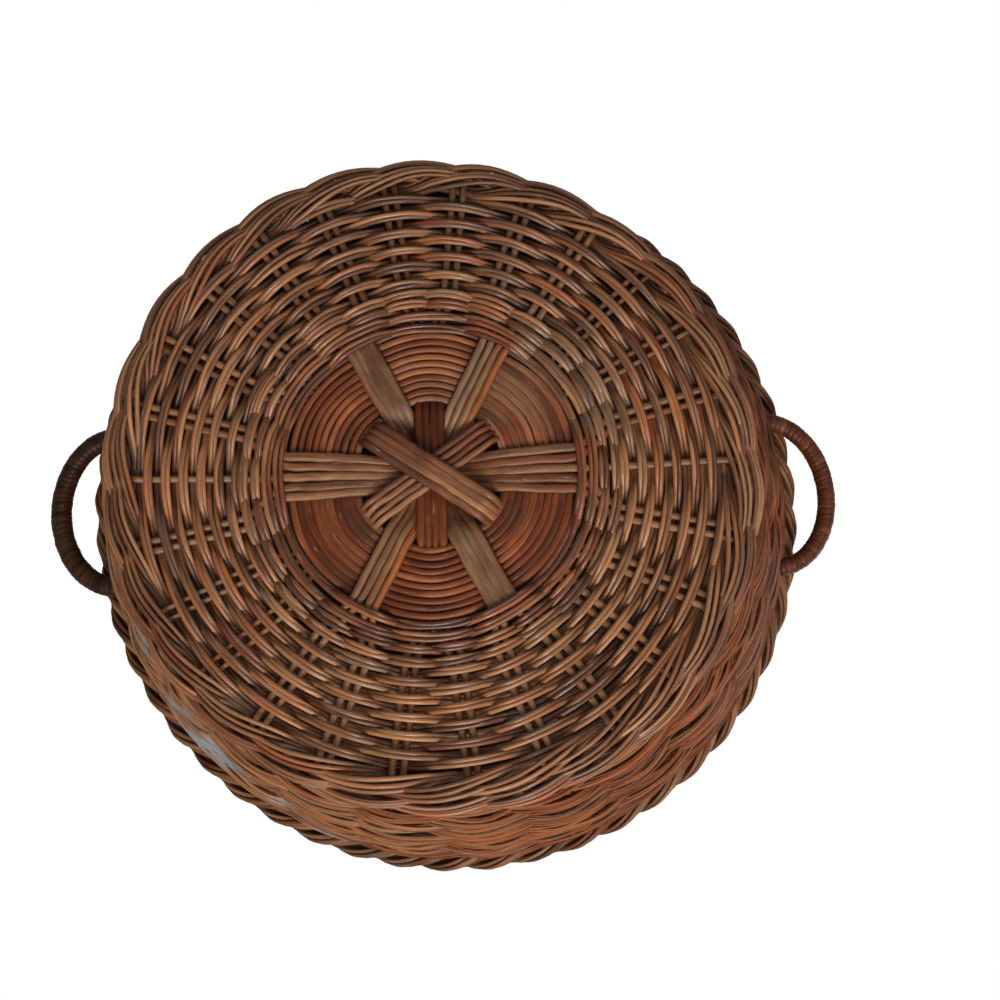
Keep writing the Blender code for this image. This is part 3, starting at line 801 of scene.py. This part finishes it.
def layRods(arm, layer):
    form, tones, plain = rodForm, armTones[arm["name"]], (0,) * 5
    canes = startCanes()
    for slot in range(arm["rods"]):
        out, outNormal, reach = halfRod(arm["turn"], slot, arm, layer)
        back, backNormal, _ = halfRod(arm["turn"] + groups / 2, arm["rods"] - 1 - slot, arm, layer)
        path = np.concatenate([back[:0:-1], out])
        stations = len(path)
        for axis in (2, 0, 1):
            path[:, axis] += wander(stations, *form["drift"])
        far = np.concatenate([reach[:0:-1], reach])
        thick = form["thickStart"] + (form["thickEnd"] - form["thickStart"]) * (far / bowlEnd)
        paired = smooth(far, form["pairedFrom"], form["pairedTo"])
        squash = 1 - (1 - form["flatten"]) * (1 - smooth(far, form["flatFrom"], form["flatTo"]))
        squash = arm.get("flatten", squash)
        squash = squash + (1 - squash) * paired
        slim = thick / 2 / squash ** 0.5 * arm.get("slim", 1)
        split = smooth(np.linspace(-1, 1, stations), *form["split"])
        own, redness = (tones["back"][key] * (1 - split) + tones["out"][key] * split for key in (0, 1))
        own = own + tones.get("pale", plain)[slot]
        redness = redness + tones.get("ruddy", plain)[slot]
        # painted light and shade: out on the base the rods are painted paler towards the key lamp, darker
        # away from it, and shaded from the foot on
        farTone = form["farTone"] + form["farPaler"] * np.sin(np.arctan2(path[:, 1], path[:, 0]))
        deep = form["farDeep"] * smooth(far, form["deepFrom"], form["deepTo"])
        addCane(
            canes, paths=path, outward=np.concatenate([backNormal[:0:-1], outNormal]),
            width=slim * (1 + wander(stations, *form["girth"])), height=thick / 2 * squash,
            tone=own * (1 - paired) + farTone * paired + dice.normal(0, form["toneSize"]),
            red=redness * (1 - paired) + form["farRed"] * paired + dice.normal(0, form["toneSize"]),
            deep=deep + (form["darkest"] - farTone) * form["dimming"] * paired)
    names = [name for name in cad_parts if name.startswith("stake_" + arm["name"][-1].lower())]
    finish = darkRodFinish if arm["name"] == "bunchC" else rodFinish
    bendCanes(arm["name"], stackCanes(canes), form["sides"], finish, names)


# Border: a rope of three bundles laid round the mouth, with one more strand as its core
borderForm = {
    "bundles": 3, "turns": 17, "strands": 4, "stationsPerTurn": 26, "lapStations": 4, "sides": 6,
    "bundleReach": 2.70 * mm, "strandReach": 1.15 * mm, "wide": 2.2 * mm, "thick": 1.7 * mm,
    "radius": 126.9 * mm, "height": 72.8 * mm, "middle": (-0.4 * mm, -1.0 * mm, 0.0),
    "drift": (80, 0.08 * mm), "girth": (60, 0.10), "deep": 0.12,
    "tone": 0.46, "toneDrift": (51, 0.20), "red": 0.30, "redDrift": (51, 0.14),
}


def layBorder():
    form = borderForm
    canes = startCanes()
    onceRound = form["turns"] * form["stationsPerTurn"]
    stations = onceRound + form["lapStations"] + 1
    for bundle in range(form["bundles"]):
        for strand in range(form["strands"] + (bundle == 0)):
            outer = float(strand < form["strands"])        # 0 for the core
            turn = np.linspace(0, 2 * math.pi * (stations - 1) / onceRound, stations)
            turn = turn + dice.uniform(0, 2 * math.pi)
            wind = turn * form["turns"] + bundle * 2 * math.pi / form["bundles"]
            twist = wind + strand * 2 * math.pi / form["strands"]
            reach = form["bundleReach"] + wander(stations, *form["drift"])
            outX = (np.cos(wind) * reach + np.cos(twist) * form["strandReach"]) * outer
            outZ = (np.sin(wind) * reach + np.sin(twist) * form["strandReach"]) * outer
            ring = np.stack([np.cos(turn), np.sin(turn), 0 * turn], -1)
            up = np.array((0.0, 0.0, 1.0))
            path = ring * (form["radius"] + outX)[:, None] + up * (form["height"] + outZ)[:, None]
            middle = ring * form["radius"] + up * form["height"]
            girth = 1 + wander(stations, *form["girth"])
            addCane(canes, paths=toOval(path + form["middle"]),
                    outward=unit(path - middle + (0, 0, 1e-6)),
                    width=form["wide"] / 2 * girth, height=form["thick"] / 2 * girth,
                    tone=form["tone"] + wander(stations, *form["toneDrift"]),
                    red=form["red"] + wander(stations, *form["redDrift"]),
                    deep=np.full(stations, form["deep"]))
    bendCanes("rimBorder", stackCanes(canes), form["sides"], borderFinish, ["border"])


# Ear handles: a bent rod with flat cane wound round it
handleForm = {
    "coreRadius": 2.45 * mm, "caneWide": 3.0 * mm, "caneThick": 0.75 * mm, "turns": 39,
    "stationsPerTurn": 14, "tip": 139.7 * mm, "seatX": 119.3 * mm, "level": 61.5 * mm, "rise": 1.2 * mm,
    "coreStations": 61, "samples": 400, "endGap": 0.6 * mm, "sunk": 0.45,
    "coreSides": 12, "caneSides": 8, "coreTone": 0.3, "coreRed": 0.4, "coreDeep": 0.4,
    "drift": (80, 0.06 * mm), "toneSize": 0.18,
    "Left": {"sign": -1, "tone": 0.40, "red": 0.30, "girth": 1.20, "longer": 1.0 * mm,
             "seatY": 27.8 * mm, "middleY": 0.5 * mm},
    "Right": {"sign": 1, "tone": 0.45, "red": 0.75, "girth": 1.0, "longer": 0.0,
              "seatY": 26.8 * mm, "middleY": 1.5 * mm},
}


def handleArc(own, samples):
    form = handleForm
    bend = np.linspace(-math.pi / 2, math.pi / 2, samples)
    across = own["sign"] * (form["seatX"] + (form["tip"] + own["longer"] - form["seatX"]) * np.cos(bend))
    beside = own["middleY"] + own["seatY"] * np.sin(bend)
    return toOval(np.stack([across, beside, form["level"] + form["rise"] * np.cos(bend)], -1))


def addHandle(name):
    form, own = handleForm, handleForm[name]
    up = np.array((0.0, 0.0, 1.0))
    coreRadius = form["coreRadius"] * own["girth"]
    path = handleArc(own, form["coreStations"])
    flat = np.ones((1, len(path)))
    core = {"paths": path[None], "outward": np.tile(up, (1, len(path), 1)),
            "width": flat * coreRadius, "height": flat * coreRadius,
            "tone": flat * form["coreTone"], "red": flat * form["coreRed"],
            "deep": flat * form["coreDeep"]}
    bendCanes("handleCore" + name, core, form["coreSides"], coreFinish,
              ["handle_core_" + name.lower()])

    stations = form["turns"] * form["stationsPerTurn"] + 1
    fine = handleArc(own, form["samples"])
    run = runAlong(fine)
    here = np.linspace(form["endGap"], run[-1] - form["endGap"], stations)
    spot = np.stack([np.interp(here, run, fine[:, axis]) for axis in range(3)], -1)
    along = unit(np.gradient(spot, axis=0))
    upward = unit(up - along * along[:, 2:3])
    aside = np.cross(along, upward)
    wind = np.arange(stations) / form["stationsPerTurn"] * 2 * math.pi
    outward = upward * np.cos(wind)[:, None] + aside * np.sin(wind)[:, None]
    reach = coreRadius + form["caneThick"] * form["sunk"] + wander(stations, *form["drift"])
    path = spot + outward * reach[:, None]
    flat = np.ones((1, stations))
    shades = wander(stations, form["turns"] * 2, form["toneSize"])[None]
    wrap = {"paths": path[None], "outward": outward[None],
            "width": flat * form["caneWide"] / 2, "height": flat * form["caneThick"] / 2,
            "tone": own["tone"] + shades, "red": own["red"] + shades, "deep": flat * 0.0}
    bendCanes("handleWrap" + name, wrap, form["caneSides"], wrapFinishes[name],
              ["handle_wrap_" + name.lower()])


rodFinish = caneFinish("rodFinish")
hubFinish = caneFinish("hubFinish", warm=0.12, sheen=0.22)
weaveFinish = caneFinish("weaveFinish", gloss=0.38, sheen=0.44)
waleFinish = caneFinish("waleFinish", gloss=0.42, sheen=0.40)
darkRodFinish = caneFinish("darkRodFinish", shade=0.70, warm=0.4, sheen=0.14)
sideFinish = caneFinish("sideFinish", warm=0.02, dusty=1.0, gloss=0.52, sheen=0.16)
borderFinish = caneFinish("borderFinish", shade=0.90, sheen=0.20)
coreFinish = caneFinish("coreFinish", shade=0.5)
wrapFinishes = {
    "Left": caneFinish("darkWrap", shade=0.17, gloss=0.42, sheen=0.12, flankShade=0.4),
    "Right": caneFinish("redWrap", shade=0.52, warm=0.15, gloss=0.42, sheen=0.2, flankShade=0.6),
}

for layer, arm in enumerate(arms):
    layRods(arm, layer)
print("rods laid")
weaveHub()
weaveSpread()
weaveBase()
weaveFoot()
weaveSide()
print("weaving done")
layBorder()
addHandle("Left")
addHandle("Right")
print("border and handles done")


# Camera, light and a pale stage
cameraForm = {
    "place": (27.6 * mm, 68.8 * mm, -330.4 * mm),
    "right": (0.9993, 0.0297, 0.0220),
    "forward": (-0.0166, -0.1714, 0.9851),
    "lens": 39.4, "sensor": 36, "clip": (0.01, 20),
}


def placeCamera():
    form = cameraForm
    data = bpy.data.cameras.new("camera")
    camera = bpy.data.objects.new("camera", data)
    bpy.context.scene.collection.objects.link(camera)
    data.sensor_width, data.lens = form["sensor"], form["lens"]
    data.clip_start, data.clip_end = form["clip"]
    forward = Vector(form["forward"]).normalized()
    right = Vector(form["right"])
    right = (right - forward * right.dot(forward)).normalized()
    turn = Matrix((right, right.cross(forward), -forward)).transposed().to_4x4()
    camera.matrix_world = Matrix.Translation(form["place"]) @ turn
    bpy.context.scene.camera = camera


# A floor that is seen only from above, and a dark disc of painted shade inside the bowl, seen only from
# below
stageForm = {
    "floor": {"size": 6.0, "height": 0.0, "colour": (0.82, 0.82, 0.82, 1), "fromAbove": True},
    "paintedShadeInside": {"size": 251 * mm, "height": 71.5 * mm, "colour": (0.012, 0.008, 0.006, 1),
                   "fromAbove": False},
}


def addStage(name):
    form = stageForm[name]
    bpy.ops.mesh.primitive_circle_add(vertices=96, radius=form["size"] / 2, fill_type="NGON",
                                      location=(0, 0, form["height"]))
    plane = bpy.context.object
    plane.name = name
    material = bpy.data.materials.new(name)
    material.use_nodes = True
    tree = material.node_tree
    shader = tree.nodes["Principled BSDF"]
    shader.inputs["Base Color"].default_value = form["colour"]
    shader.inputs["Roughness"].default_value = 0.8
    behind = node(tree, "ShaderNodeNewGeometry", {}, {}, 6)
    if not form["fromAbove"]:
        behind = 1 - behind
    clear = node(tree, "ShaderNodeBsdfTransparent", {}, {})
    mixed = node(tree, "ShaderNodeMixShader", {}, [behind, Wire(tree, shader.outputs[0]), clear])
    tree.links.new(mixed.socket, tree.nodes["Material Output"].inputs[0])
    plane.data.materials.append(material)
    for ray in ("diffuse", "glossy", "transmission", "shadow"):
        setattr(plane, "visible_" + ray, False)
    plane.select_set(False)


# keyAbove isn't glossy, or it glints through the gaps of the base
lampForm = {
    "keyBelow": {"place": (0.05, 0.90, -0.78), "size": 0.45, "power": 16.5, "colour": (1.0, 0.94, 0.84)},
    "fillBelow": {"place": (0.6, 0.1, -0.9), "size": 0.8, "power": 3.5, "colour": (1.0, 0.94, 0.84)},
    "keyAbove": {"place": (-0.80, -0.95, 0.85), "size": 0.8, "power": 22, "colour": (1.0, 0.96, 0.90),
                 "glossy": False},
    "fillAbove": {"place": (1.05, 0.40, 0.80), "size": 1.0, "power": 5, "colour": (1.0, 0.96, 0.90)},
}
lampTarget = Vector((0, 0, 40 * mm))


def addLamp(name):
    form = lampForm[name]
    bpy.ops.object.light_add(type="AREA", location=form["place"])
    lamp = bpy.context.object
    lamp.name = name
    lamp.data.size, lamp.data.energy, lamp.data.color = form["size"], form["power"], form["colour"]
    lamp.rotation_mode = "QUATERNION"
    lamp.rotation_quaternion = (lampTarget - Vector(form["place"])).to_track_quat("-Z", "Y")
    lamp.visible_glossy = form.get("glossy", True)
    lamp.select_set(False)


# white to the camera, and a plain dim light to everything else
worldForm = {"colour": (1, 1, 1, 1), "dim": 0.35}


def lightWorld():
    world = bpy.data.worlds.new("world")
    bpy.context.scene.world = world
    world.use_nodes = True
    tree = world.node_tree
    background = tree.nodes["Background"]
    background.inputs["Color"].default_value = worldForm["colour"]
    camera = node(tree, "ShaderNodeLightPath", {}, {}, 0)
    dim = {"Color": worldForm["colour"], "Strength": worldForm["dim"]}
    dim = node(tree, "ShaderNodeBackground", {}, dim)
    mixed = node(tree, "ShaderNodeMixShader", {}, [camera, dim, Wire(tree, background.outputs[0])])
    tree.links.new(mixed.socket, tree.nodes["World Output"].inputs[0])


placeCamera()
for stage in stageForm:
    addStage(stage)
for lamp in lampForm:
    addLamp(lamp)
lightWorld()
bpy.context.scene.view_settings.view_transform = "Standard"
print("camera, stage and light set")
